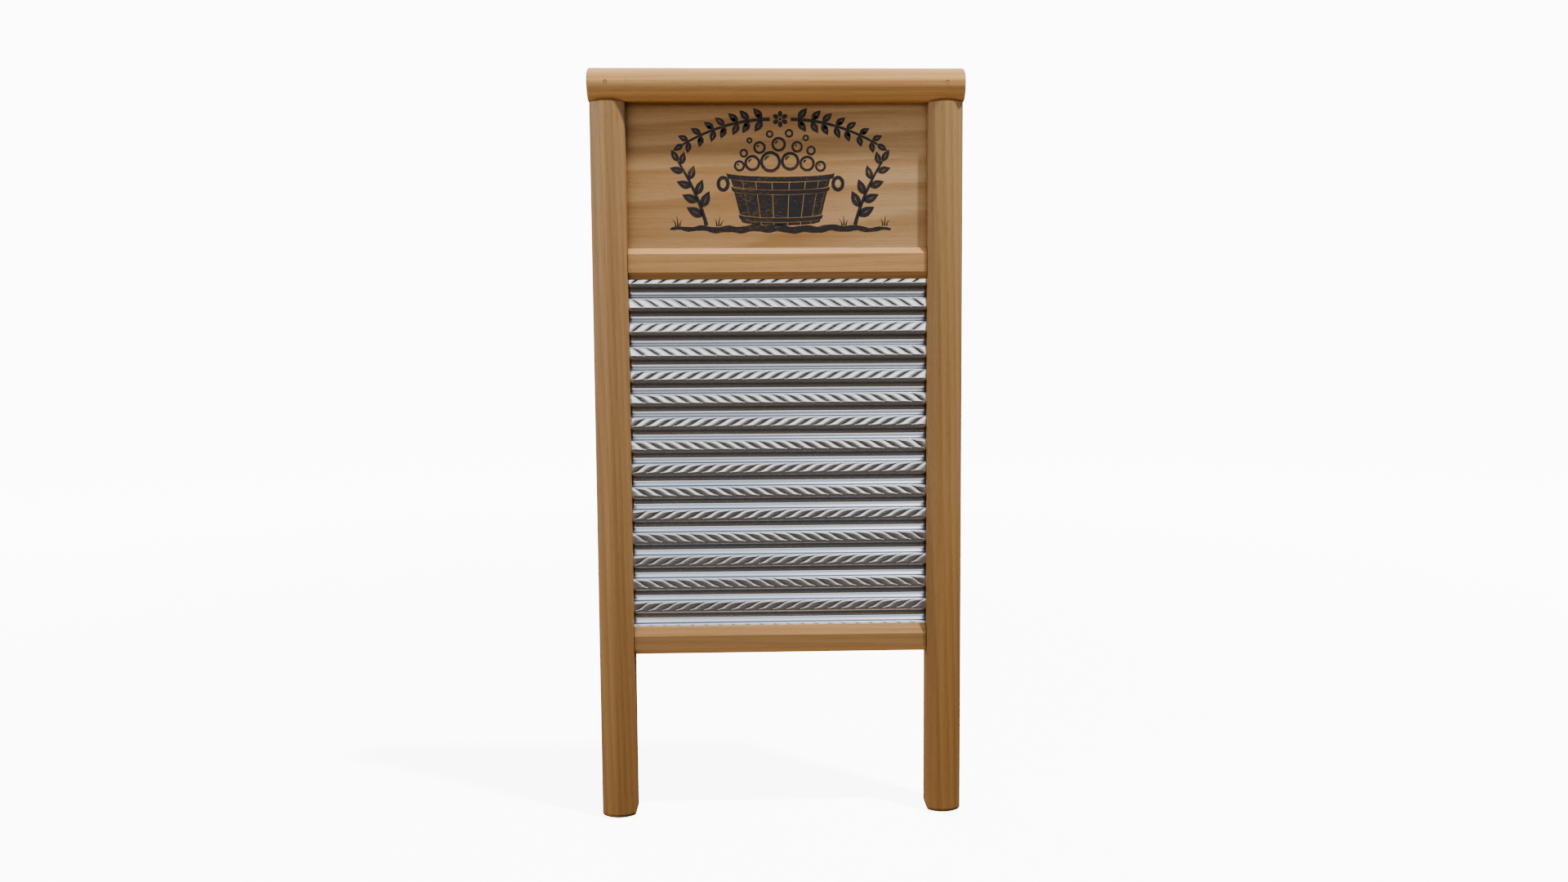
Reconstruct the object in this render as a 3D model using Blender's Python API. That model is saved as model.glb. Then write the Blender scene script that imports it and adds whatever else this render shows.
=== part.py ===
"""A free-standing washboard, modelled as the pieces it comes apart into.

Two posts stand on the floor at z = 0 and carry a round top rail on tenons. A groove down the inner
side of each post holds a header panel, a ribbed metal sheet and the tongues of two rails. Nails
driven through the posts pin the rails, and brads through the top rail pin the tenons. The board
faces -Y, and the middle of its base is the origin.
"""

import math

import bpy
from mathutils import Vector

# All sizes are in metres.

# The whole board
BOARD_HEIGHT = 0.610  # floor to the crown of the top rail
BOARD_WIDTH = 0.2976  # across the outer sides of the posts
FIT_GAP = 0.0003  # play between any two pieces that meet

# Posts: flat sides, rounded front and back
POST_WIDTH = 0.028
POST_DEPTH = 0.025  # over both rounded faces
POST_CROWN = 0.0047  # how far a rounded face bulges past the flat sides
POST_ARRIS = 0.0008  # radius where a rounded face meets a flat side
FOOT_ROUND = 0.0045  # radius round the foot's end
LEG_LENGTH = 0.136  # floor to the underside of the bottom rail

# The groove that every panel, sheet and tongue fits
GROOVE_WIDTH = 0.0055
POST_GROOVE_DEPTH = 0.0065
RAIL_GROOVE_DEPTH = 0.006

# Top rail: a round bar, flat underneath where it sits on the posts
TOP_RAIL_DIAMETER = 0.029
TOP_RAIL_HEIGHT = 0.028  # flat underside to crown
TOP_RAIL_SEAT = 0.016  # width of the flat underside
TOP_RAIL_OVERHANG = 0.0012  # past the outer side of each post
TOP_RAIL_END_ROUND = 0.0018
TENON_SET_IN = 0.002  # wood left between a tenon's side and the bottom of the post's groove
TENON_DEPTH = 0.008
TENON_HEIGHT = 0.019

# Middle and bottom rails
RAIL_DEPTH = 0.012
RAIL_LIP = 0.0006  # flat left between a groove and a bevel
RAIL_ARRIS = 0.0006
MIDDLE_RAIL_HEIGHT = 0.0251
MIDDLE_RAIL_TOP_BEVEL = 0.0050
MIDDLE_RAIL_LOW_BEVEL = 0.0055
BOTTOM_RAIL_HEIGHT = 0.0232
BOTTOM_RAIL_TOP_BEVEL = 0.0080
BOTTOM_RAIL_LOW_BEVEL = 0.0045

# Ribbed sheet
METAL_OPENING = 0.2834  # height of bare metal between the two rails
RIDGE_PITCH = 0.019
RIDGE_SINK = 0.0037  # how far the lowest ridge's crest lies below the bottom rail's top edge
SHEET_GAUGE = 0.0005
CREASE_OFFSET = 0.0057  # from a ridge's crest to the crease on each side of it
CREASE_DEPTH = 0.0003
CREASE_HALF_WIDTH = 0.0005

# Nails through the posts, and brads through the front of the top rail
NAIL_SHANK_RADIUS = 0.0009
NAIL_HEAD_RADIUS = 0.0016
NAIL_LENGTH = 0.038
NAIL_SPACING = 0.007  # between the two nails of one joint
BRAD_SHANK_RADIUS = 0.0007
BRAD_HEAD_RADIUS = 0.0012
BRAD_LENGTH = 0.023
HEAD_THICKNESS = 0.0010
HEAD_SINK = 0.0002  # how far a head lies below the surface of the wood
POINT_LENGTH = 0.0025

# How finely curves are divided
ARC_STEPS = 24
FILLET_STEPS = 3
FOOT_STEPS = 4
ROUND_RAIL_STEPS = 40
NAIL_SIDES = 12
SHARP_ANGLE = math.radians(28)
CUTTER_MARGIN = 0.002  # how far a cutter runs past the surface it opens

# Places worked out from the sizes above
post_side = BOARD_WIDTH / 2 - POST_WIDTH  # x of a post's inner side
post_middle = BOARD_WIDTH / 2 - POST_WIDTH / 2
top_rail_radius = TOP_RAIL_DIAMETER / 2
top_rail_axis = BOARD_HEIGHT - top_rail_radius
top_rail_underside = BOARD_HEIGHT - TOP_RAIL_HEIGHT
shoulder = top_rail_underside - FIT_GAP  # top of a post, round its tenon
bottom_rail_top = LEG_LENGTH + BOTTOM_RAIL_HEIGHT
middle_rail_underside = bottom_rail_top + METAL_OPENING
middle_rail_top = middle_rail_underside + MIDDLE_RAIL_HEIGHT
tenon_width = POST_WIDTH - 2 * (POST_GROOVE_DEPTH + TENON_SET_IN)
groove_fill = GROOVE_WIDTH - 2 * FIT_GAP  # thickness of whatever slides in a groove
held_half_width = post_side + POST_GROOVE_DEPTH - FIT_GAP
held_in_rail = RAIL_GROOVE_DEPTH - FIT_GAP


def clear_scene():
    for old in list(bpy.data.objects):
        bpy.data.objects.remove(old, do_unlink=True)


def make_material(name, colour, roughness, metallic):
    material = bpy.data.materials.new(name)
    material.use_nodes = True
    shader = material.node_tree.nodes["Principled BSDF"]
    shader.inputs["Base Color"].default_value = (*colour, 1.0)
    shader.inputs["Roughness"].default_value = roughness
    shader.inputs["Metallic"].default_value = metallic
    material.diffuse_color = (*colour, 1.0)
    return material


def wood(name):
    return make_material(f"{name}_wood", (0.45, 0.27, 0.13), 0.55, 0.0)


def galvanised_steel(name):
    return make_material(f"{name}_galvanised", (0.62, 0.65, 0.68), 0.3, 1.0)


def nail_steel(name):
    return make_material(f"{name}_steel", (0.35, 0.33, 0.31), 0.45, 1.0)


def add_object(name, points, faces, material=None):
    mesh = bpy.data.meshes.new(name)
    mesh.from_pydata(points, [], faces)
    mesh.shade_smooth()
    mesh.set_sharp_from_angle(angle=SHARP_ANGLE)
    piece = bpy.data.objects.new(name, mesh)
    bpy.context.scene.collection.objects.link(piece)
    if material:
        mesh.materials.append(material)
    return piece


def loft(name, rings, material=None):
    """A closed body through rings of points that all run anticlockwise, seen from the last ring."""
    count = len(rings[0])
    points = [point for ring in rings for point in ring]
    faces = [tuple(reversed(range(count)))]
    for low in range(0, count * (len(rings) - 1), count):
        for here in range(count):
            after = (here + 1) % count
            faces.append((low + here, low + after, low + count + after, low + count + here))
    last = len(points) - count
    faces.append(tuple(range(last, last + count)))
    return add_object(name, points, faces, material)


def box(name, low, high, material=None):
    """A box between two opposite corners."""
    corners = [(low[0], low[1]), (high[0], low[1]), (high[0], high[1]), (low[0], high[1])]
    return loft(name, [[(x, y, z) for x, y in corners] for z in (low[2], high[2])], material)


def combine(piece, other, operation):
    """Joins or cuts a piece with another object, which is then only a guide."""
    other.hide_render = True
    other.display_type = "WIRE"
    modifier = piece.modifiers.new(other.name, "BOOLEAN")
    modifier.operation = operation
    modifier.object = other


def soften(outline, radius):
    """The outline with each sharp outward corner rounded, no further than its shorter side allows."""
    rounded = []
    for index, corner in enumerate(outline):
        here = Vector(corner)
        back = Vector(outline[index - 1]) - here
        ahead = Vector(outline[(index + 1) % len(outline)]) - here
        turn = math.pi - back.angle(ahead)
        outward = back.x * ahead.y - back.y * ahead.x < 0
        if not outward or turn < SHARP_ANGLE:
            rounded.append(tuple(here))
            continue
        trim = min(radius * math.tan(turn / 2), 0.4 * back.length, 0.4 * ahead.length)
        start = here + back.normalized() * trim
        end = here + ahead.normalized() * trim
        for step in range(FILLET_STEPS + 1):
            t = step / FILLET_STEPS
            rounded.append(tuple(start * (1 - t) ** 2 + here * 2 * t * (1 - t) + end * t**2))
    return rounded


def post_outline():
    """Section of a post across X and Y: two flat sides joined by shallow arcs."""
    half_width = POST_WIDTH / 2
    half_side = POST_DEPTH / 2 - POST_CROWN
    radius = (half_width**2 + POST_CROWN**2) / (2 * POST_CROWN)
    half_angle = math.asin(half_width / radius)
    front = []
    for step in range(ARC_STEPS + 1):
        angle = half_angle * (2 * step / ARC_STEPS - 1)
        bulge = radius * (math.cos(angle) - math.cos(half_angle))
        front.append((radius * math.sin(angle), -half_side - bulge))
    back = [(-x, -y) for x, y in front]
    return soften(front + back, POST_ARRIS)


def make_post(name, side):
    """A post with a rounded foot, a groove down its inner side and a tenon on top. side is -1 or 1."""
    outline = post_outline()
    centre = side * post_middle
    rings = []
    for step in range(FOOT_STEPS + 1):
        angle = math.pi / 2 * step / FOOT_STEPS
        inset = FOOT_ROUND * (1 - math.sin(angle))
        narrow = 1 - 2 * inset / POST_WIDTH
        shallow = 1 - 2 * inset / POST_DEPTH
        height = FOOT_ROUND * (1 - math.cos(angle))
        rings.append([(centre + x * narrow, y * shallow, height) for x, y in outline])
    rings.append([(centre + x, y, shoulder) for x, y in outline])
    post = loft(name, rings, wood(name))

    tenon_low = (centre - tenon_width / 2, -TENON_DEPTH / 2, shoulder - CUTTER_MARGIN)
    tenon_high = (centre + tenon_width / 2, TENON_DEPTH / 2, shoulder + TENON_HEIGHT)
    combine(post, box(f"{name}_tenon", tenon_low, tenon_high), "UNION")

    groove_xs = sorted(
        (side * (post_side - CUTTER_MARGIN), side * (post_side + POST_GROOVE_DEPTH))
    )
    groove_low = (groove_xs[0], -GROOVE_WIDTH / 2, LEG_LENGTH - FIT_GAP)
    groove_high = (groove_xs[1], GROOVE_WIDTH / 2, shoulder + CUTTER_MARGIN)
    combine(post, box(f"{name}_groove", groove_low, groove_high), "DIFFERENCE")
    return post


def make_top_rail():
    """A round bar with a flat underside, mortised for the tenons and grooved for the header panel."""
    seat_angle = math.acos(TOP_RAIL_SEAT / 2 / top_rail_radius)
    lower_radius = (top_rail_axis - top_rail_underside) / math.sin(seat_angle)
    outline = []
    for step in range(ROUND_RAIL_STEPS + 1):
        angle = (math.pi + 2 * seat_angle) * step / ROUND_RAIL_STEPS - seat_angle
        vertical_radius = top_rail_radius if math.sin(angle) > 0 else lower_radius
        outline.append((top_rail_radius * math.cos(angle), vertical_radius * math.sin(angle)))

    half_length = BOARD_WIDTH / 2 + TOP_RAIL_OVERHANG
    ends = []
    for step in range(FOOT_STEPS + 1):
        angle = math.pi / 2 * step / FOOT_STEPS
        scale = 1 - TOP_RAIL_END_ROUND * (1 - math.sin(angle)) / top_rail_radius
        ends.append((half_length - TOP_RAIL_END_ROUND * (1 - math.cos(angle)), scale))
    stations = [(-x, scale) for x, scale in ends] + list(reversed(ends))
    rings = [[(x, y * s, top_rail_axis + z * s) for y, z in outline] for x, s in stations]
    rail = loft("top_rail", rings, wood("top_rail"))

    for name, side in (("left", -1), ("right", 1)):
        centre = side * post_middle
        reach = tenon_width / 2 + FIT_GAP
        depth = TENON_DEPTH / 2 + FIT_GAP
        low = (centre - reach, -depth, top_rail_underside - CUTTER_MARGIN)
        high = (centre + reach, depth, shoulder + TENON_HEIGHT + FIT_GAP)
        combine(rail, box(f"top_rail_mortise_{name}", low, high), "DIFFERENCE")

    reach = held_half_width + FIT_GAP
    low = (-reach, -GROOVE_WIDTH / 2, top_rail_underside - CUTTER_MARGIN)
    high = (reach, GROOVE_WIDTH / 2, top_rail_underside + RAIL_GROOVE_DEPTH)
    combine(rail, box("top_rail_groove", low, high), "DIFFERENCE")
    return rail


def rail_outline(height, top_bevel, low_bevel, grooved_below):
    """Section of a rail across Y and Z: bevelled front and back, grooved on top and perhaps below."""
    front = RAIL_DEPTH / 2
    groove = GROOVE_WIDTH / 2
    lip = groove + RAIL_LIP
    half = [(lip, 0), (front, low_bevel), (front, height - top_bevel), (lip, height)]
    half += [(groove, height), (groove, height - RAIL_GROOVE_DEPTH)]
    if grooved_below:
        half = [(groove, RAIL_GROOVE_DEPTH), (groove, 0)] + half
    return soften(half + [(-y, z) for y, z in reversed(half)], RAIL_ARRIS)


def make_rail(name, underside, height, top_bevel, low_bevel, grooved_below):
    """A rail between the posts, with a tongue at each end for the posts' grooves."""
    half_length = post_side - FIT_GAP
    outline = rail_outline(height, top_bevel, low_bevel, grooved_below)
    rings = [[(x, y, underside + z) for y, z in outline] for x in (-half_length, half_length)]
    rail = loft(name, rings, wood(name))
    tongue_bottom, tongue_top = tongue_heights(underside, height, grooved_below)
    for side_name, side in (("left", -1), ("right", 1)):
        xs = sorted((side * (half_length - CUTTER_MARGIN), side * held_half_width))
        low = (xs[0], -groove_fill / 2, tongue_bottom)
        high = (xs[1], groove_fill / 2, tongue_top)
        combine(rail, box(f"{name}_tongue_{side_name}", low, high), "UNION")
    return rail


def tongue_heights(underside, height, grooved_below):
    """Bottom and top of a rail's tongues, which stay clear of what its grooves hold."""
    bottom = underside + FIT_GAP + (RAIL_GROOVE_DEPTH if grooved_below else 0)
    return bottom, underside + height - RAIL_GROOVE_DEPTH - FIT_GAP


def make_header_panel():
    low = (-held_half_width, -groove_fill / 2, middle_rail_top - held_in_rail)
    high = (held_half_width, groove_fill / 2, top_rail_underside + held_in_rail)
    return box("header_panel", low, high, wood("header_panel"))


def sheet_offset(height):
    """How far forward the sheet's middle surface lies at this height: ridges with a crease each side."""
    crest = bottom_rail_top - RIDGE_SINK
    from_crest = abs((height - crest + RIDGE_PITCH / 2) % RIDGE_PITCH - RIDGE_PITCH / 2)
    wave = (groove_fill - SHEET_GAUGE) / 2 * math.cos(2 * math.pi * from_crest / RIDGE_PITCH)
    across = min(abs(from_crest - CREASE_OFFSET) / CREASE_HALF_WIDTH, 1)
    return wave - CREASE_DEPTH * (1 - across)


def sheet_heights():
    """The heights at which the sheet's section has a point."""
    bottom = bottom_rail_top - held_in_rail
    top = middle_rail_underside + held_in_rail
    crest_gap = CREASE_OFFSET - CREASE_HALF_WIDTH
    valley_gap = RIDGE_PITCH / 2 - CREASE_OFFSET - CREASE_HALF_WIDTH
    side = [crest_gap * share / 5 for share in range(1, 6)] + [CREASE_OFFSET]
    side += [RIDGE_PITCH / 2 - valley_gap * share / 4 for share in range(4, 0, -1)]
    steps = sorted([-offset for offset in side] + [0] + side + [RIDGE_PITCH / 2])
    crest = bottom_rail_top - RIDGE_SINK - RIDGE_PITCH
    heights = [bottom]
    while crest - RIDGE_PITCH / 2 < top:
        heights += [crest + step for step in steps if bottom < crest + step < top]
        crest += RIDGE_PITCH
    return heights + [top]


def make_ribbed_sheet():
    """Sheet metal pressed into ridges that run from post to post."""
    heights = sheet_heights()
    half_gauge = SHEET_GAUGE / 2
    back = [(half_gauge - sheet_offset(z), z) for z in heights]
    front = [(-half_gauge - sheet_offset(z), z) for z in reversed(heights)]
    ends = (-held_half_width, held_half_width)
    rings = [[(x, y, z) for y, z in back + front] for x in ends]
    return loft("ribbed_sheet", rings, galvanised_steel("ribbed_sheet"))


def turned(name, profile, origin, direction, material=None):
    """A body turned about a line from origin along direction. profile lists (distance, radius)."""
    along = Vector(direction).normalized()
    across = along.orthogonal().normalized()
    third = along.cross(across)
    rings = []
    for distance, radius in profile:
        ring = []
        for side in range(NAIL_SIDES):
            angle = 2 * math.pi * side / NAIL_SIDES
            spoke = across * math.cos(angle) + third * math.sin(angle)
            ring.append(tuple(Vector(origin) + along * distance + spoke * radius))
        rings.append(ring)
    return loft(name, rings, material)


def drive_nail(name, entry, direction, length, shank, head, pieces):
    """A nail whose head lies just below the surface at entry, and its bore through the given pieces."""
    under_head = HEAD_SINK + HEAD_THICKNESS
    tip = HEAD_SINK + length
    profile = [
        (HEAD_SINK, head),
        (under_head, head),
        (under_head + (head - shank) / 2, shank),
        (tip - POINT_LENGTH, shank),
        (tip, shank / 4),
    ]
    nail = turned(name, profile, entry, direction, nail_steel(name))
    bore_profile = [
        (-CUTTER_MARGIN, head + FIT_GAP),
        (under_head + FIT_GAP, head + FIT_GAP),
        (under_head + FIT_GAP + (head - shank) / 2, shank + FIT_GAP),
        (tip + FIT_GAP, shank + FIT_GAP),
    ]
    bore = turned(f"{name}_bore", bore_profile, entry, direction)
    for piece in pieces:
        combine(piece, bore, "DIFFERENCE")
    return nail


def nail_rail(rail, underside, height, grooved_below, posts):
    """Two nails through each post into the end of a rail."""
    bottom, top = tongue_heights(underside, height, grooved_below)
    for side_name, side in (("left", -1), ("right", 1)):
        for level, shift in (("lower", -NAIL_SPACING / 2), ("upper", NAIL_SPACING / 2)):
            drive_nail(
                f"{rail.name}_nail_{side_name}_{level}",
                (side * BOARD_WIDTH / 2, 0, (bottom + top) / 2 + shift),
                (-side, 0, 0),
                NAIL_LENGTH,
                NAIL_SHANK_RADIUS,
                NAIL_HEAD_RADIUS,
                (posts[side], rail),
            )


def pin_tenons(top_rail, posts):
    """A brad from the front through the top rail and each post's tenon."""
    for side_name, side in (("left", -1), ("right", 1)):
        drive_nail(
            f"top_rail_brad_{side_name}",
            (side * post_middle, -top_rail_radius, top_rail_axis),
            (0, 1, 0),
            BRAD_LENGTH,
            BRAD_SHANK_RADIUS,
            BRAD_HEAD_RADIUS,
            (top_rail, posts[side]),
        )


def main():
    clear_scene()
    posts = {-1: make_post("left_post", -1), 1: make_post("right_post", 1)}
    top_rail = make_top_rail()
    make_header_panel()
    make_ribbed_sheet()

    middle = (middle_rail_underside, MIDDLE_RAIL_HEIGHT)
    bottom = (LEG_LENGTH, BOTTOM_RAIL_HEIGHT)
    middle_rail = make_rail(
        "middle_rail", *middle, MIDDLE_RAIL_TOP_BEVEL, MIDDLE_RAIL_LOW_BEVEL, True
    )
    bottom_rail = make_rail(
        "bottom_rail", *bottom, BOTTOM_RAIL_TOP_BEVEL, BOTTOM_RAIL_LOW_BEVEL, False
    )
    nail_rail(middle_rail, *middle, True, posts)
    nail_rail(bottom_rail, *bottom, False, posts)
    pin_tenons(top_rail, posts)


main()
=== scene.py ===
"""Looks of the washboard: wood, rope-crimped metal, header print, studio, light and camera.

Sizes are in metres, apart from the header print, which is drawn in millimetres.
"""

import math

import bmesh
import bpy
import numpy as np
from mathutils import Matrix, Vector, noise
from mathutils.geometry import tessellate_polygon


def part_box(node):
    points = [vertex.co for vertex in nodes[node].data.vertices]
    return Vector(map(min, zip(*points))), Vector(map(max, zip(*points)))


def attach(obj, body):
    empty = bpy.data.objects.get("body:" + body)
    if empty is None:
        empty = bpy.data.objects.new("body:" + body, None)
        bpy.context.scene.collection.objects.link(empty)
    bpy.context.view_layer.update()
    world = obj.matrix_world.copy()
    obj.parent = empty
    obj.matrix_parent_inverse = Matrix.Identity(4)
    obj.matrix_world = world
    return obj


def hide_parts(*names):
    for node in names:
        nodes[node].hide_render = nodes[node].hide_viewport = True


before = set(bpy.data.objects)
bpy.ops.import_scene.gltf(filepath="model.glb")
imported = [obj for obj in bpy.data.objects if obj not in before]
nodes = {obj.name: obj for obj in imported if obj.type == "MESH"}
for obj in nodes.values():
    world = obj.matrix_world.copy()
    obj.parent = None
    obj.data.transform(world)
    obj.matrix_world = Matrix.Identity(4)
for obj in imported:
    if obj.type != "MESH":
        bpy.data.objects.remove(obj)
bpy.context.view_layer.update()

# ---------------------------------------------------------------- node graphs


class Graph:
    """A node tree that is written as expressions."""

    def __init__(self, tree):
        self.tree = tree
        tree.nodes.clear()

    def node(self, kind, inputs=None, **settings):
        made = self.tree.nodes.new(kind)
        for name, value in settings.items():
            setattr(made, name, value)
        for name, value in (inputs or {}).items():
            self.feed(made.inputs[name], value)
        return made

    def feed(self, socket, value):
        if isinstance(value, bpy.types.NodeSocket):
            self.tree.links.new(value, socket)
        else:
            socket.default_value = value

    def operate(self, kind, operation, values):
        return self.node(kind, dict(enumerate(values)), operation=operation)

    def math(self, operation, *values):
        return self.operate("ShaderNodeMath", operation, values).outputs[0]

    def vector(self, operation, *values):
        """A vector operation whose result is a vector."""
        return self.operate("ShaderNodeVectorMath", operation, values).outputs["Vector"]

    def measure(self, operation, *values):
        """A vector operation whose result is a number."""
        return self.operate("ShaderNodeVectorMath", operation, values).outputs["Value"]

    def stretched(self, point, scales):
        return self.vector("MULTIPLY", point, scales)

    def parts(self, vector):
        return self.node("ShaderNodeSeparateXYZ", {"Vector": vector}).outputs

    def joined(self, x, y, z):
        return self.node("ShaderNodeCombineXYZ", {0: x, 1: y, 2: z}).outputs[0]

    def coordinates(self, kind="Object"):
        return self.node("ShaderNodeTexCoord").outputs[kind]

    def remap(self, value, low, high, to_low=0.0, to_high=1.0, smooth=True):
        kind = "SMOOTHSTEP" if smooth else "LINEAR"
        made = self.node("ShaderNodeMapRange", interpolation_type=kind)
        for index, entry in enumerate((value, low, high, to_low, to_high)):
            self.feed(made.inputs[index], entry)
        return made.outputs[0]

    def noise(self, vector, scale, detail=2.0, roughness=0.5, output="Fac"):
        inputs = {"Vector": vector, "Scale": scale, "Detail": detail, "Roughness": roughness}
        return self.node("ShaderNodeTexNoise", inputs).outputs[output]

    def mix(self, factor, first, second, blend="MIX"):
        made = self.node("ShaderNodeMix", data_type="RGBA", blend_type=blend)
        for index, value in ((0, factor), (6, first), (7, second)):
            if isinstance(value, tuple) and len(value) == 3:
                value = (*value, 1.0)
            self.feed(made.inputs[index], value)
        return made.outputs[2]

    def tinted(self, share, colour, tint):
        """A colour that is multiplied by a tint as far as share says."""
        return self.mix(share, colour, self.mix(1.0, colour, tint, "MULTIPLY"))

    def ramp(self, value, stops):
        made = self.node("ShaderNodeValToRGB", {"Fac": value})
        points = made.color_ramp.elements
        while len(points) < len(stops):
            points.new(0.5)
        for point, (place, colour) in zip(points, stops):
            point.position = place
            point.color = (*colour, 1.0)
        return made.outputs["Color"]


def new_material(name):
    material = bpy.data.materials.new(name)
    material.use_nodes = True
    graph = Graph(material.node_tree)
    shader = graph.node("ShaderNodeBsdfPrincipled")
    out = graph.node("ShaderNodeOutputMaterial")
    graph.tree.links.new(shader.outputs["BSDF"], out.inputs["Surface"])
    return material, graph, shader


def add_bump(graph, shader, strength, distance, height):
    bump = graph.node("ShaderNodeBump", {"Strength": strength, "Distance": distance, "Height": height})
    graph.feed(shader.inputs["Normal"], bump.outputs["Normal"])


# ---------------------------------------------------------------- materials

WOOD_LIGHT = (0.53, 0.325, 0.150)
WOOD_MID = (0.455, 0.262, 0.108)
WOOD_DARK = (0.33, 0.172, 0.060)
END_GRAIN_TINT = (0.55, 0.48, 0.42)
# Painted shade, with some grime, in corners and between parts: its tint, and how far it reaches
CORNER_SHADE_TINT = (0.45, 0.36, 0.28)
CORNER_SHADE_REACH = 0.006

# How much each pattern adds to the tone of the wood, which runs from light to dark over TONE_SPAN
RING_WEIGHT = 0.30
STREAK_WEIGHT = 0.50
BAND_WEIGHT = 0.50
FIBRE_WEIGHT = 0.30
BLOTCH_WEIGHT = 0.20
TONE_BELOW_AVERAGE = 0.20
TONE_SPAN = 0.62

RING_WOBBLE = 0.010  # how far the growth rings stray
RING_DRIFT = 0.02  # how far the pith drifts sideways for each metre of grain
TINT_BOTTOM = 0.02  # the painted shade on the lower end is full at this height, and gone at the next
TINT_TOP = 0.56

METAL_PALE = (0.88, 0.89, 0.91)
METAL_DULL = (0.80, 0.82, 0.85)
METAL_SPANGLE = (0.66, 0.69, 0.74)
METAL_DRAWN = (0.56, 0.59, 0.65)
# Tarnish and painted shade in the crimps and creases
METAL_TARNISH_AND_SHADE = (0.055, 0.052, 0.058)

INK = (0.036, 0.033, 0.036)
STEEL_BARE = (0.42, 0.40, 0.38)
STEEL_TARNISHED = (0.16, 0.10, 0.06)
FILLER_PALE = (0.52, 0.35, 0.19)
FILLER_DARK = (0.40, 0.245, 0.115)


def growth_rings(graph, local, point, pith, ring):
    """The darkening of late wood, from 0 to 1 across each ring round a pith that lies along the grain."""
    wobble = graph.noise(graph.stretched(point, (1, 1, 0.12)), 14.0, output="Color")
    wobble = graph.vector("SUBTRACT", wobble, (0.5, 0.5, 0.5))
    bent = graph.vector("ADD", local, graph.stretched(wobble, (RING_WOBBLE, RING_WOBBLE, 0)))
    across, deep, along = graph.parts(bent)
    first = graph.math("SUBTRACT", across, pith[0])
    first = graph.math("ADD", first, graph.math("MULTIPLY", along, RING_DRIFT))
    second = graph.math("SUBTRACT", deep, pith[1])
    squares = [graph.math("MULTIPLY", v, v) for v in (first, second)]
    distance = graph.math("SQRT", graph.math("ADD", *squares))
    phase = graph.math("FRACT", graph.math("DIVIDE", distance, ring))
    rising = graph.remap(phase, 0.1, 0.85)
    falling = graph.remap(phase, 0.85, 1.0, 1.0, 0.0)
    return graph.math("MULTIPLY", rising, falling)


def wood_colour(graph, place, along, seed, pith, ring, contrast, tint):
    """Colour, height and fibres of planed wood: faint rings, streaks, fibres, pores and blotches."""
    x, y, z = graph.parts(place)
    local = graph.joined(y, z, x) if along == "X" else graph.joined(x, y, z)  # the grain runs along Z
    shift = (0.31 * seed, -0.17 * seed, 0.73 * seed)  # so that each piece is its own wood
    point = graph.vector("ADD", local, shift)
    late = growth_rings(graph, local, point, pith, ring)
    fibre = graph.noise(graph.stretched(point, (1, 1, 0.025)), 1300.0, 3.0, 0.6)
    streak = graph.noise(graph.stretched(point, (1, 1, 0.016)), 260.0, 4.0, 0.62)
    band = graph.noise(graph.stretched(point, (1, 1, 0.035)), 62.0, 3.0, 0.55)
    blotch = graph.noise(graph.stretched(point, (1, 1, 0.35)), 18.0, 2.0, 0.5)
    pore = graph.noise(graph.stretched(point, (1, 1, 0.05)), 2100.0, 0.0)
    pore = graph.remap(pore, 0.64, 0.76)
    fleck = graph.noise(graph.stretched(point, (0.3, 0.3, 1)), 1500.0, 1.0)
    fleck = graph.remap(fleck, 0.60, 0.75)

    tone = graph.math("MULTIPLY", late, RING_WEIGHT * contrast)
    patterns = (
        (streak, STREAK_WEIGHT),
        (band, BAND_WEIGHT * contrast),
        (fibre, FIBRE_WEIGHT),
        (blotch, BLOTCH_WEIGHT),
    )
    for pattern, weight in patterns:
        tone = graph.math("ADD", tone, graph.math("MULTIPLY", pattern, weight))
    low = 0.5 * sum(weight for _, weight in patterns) - TONE_BELOW_AVERAGE
    tone = graph.remap(tone, low, low + TONE_SPAN, smooth=False)
    colour = graph.ramp(tone, ((0.0, WOOD_LIGHT), (0.45, WOOD_MID), (1.0, WOOD_DARK)))
    colour = graph.mix(graph.math("MULTIPLY", pore, 0.26), colour, WOOD_DARK)
    colour = graph.mix(graph.math("MULTIPLY", fleck, 0.10), colour, WOOD_DARK)
    colour = graph.mix(1.0, colour, tint, "MULTIPLY")

    height = graph.math("MULTIPLY", fibre, 0.6)
    height = graph.math("ADD", height, graph.math("MULTIPLY", streak, 0.6))
    height = graph.math("SUBTRACT", height, graph.math("MULTIPLY", pore, 0.5))
    return colour, height, fibre


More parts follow.
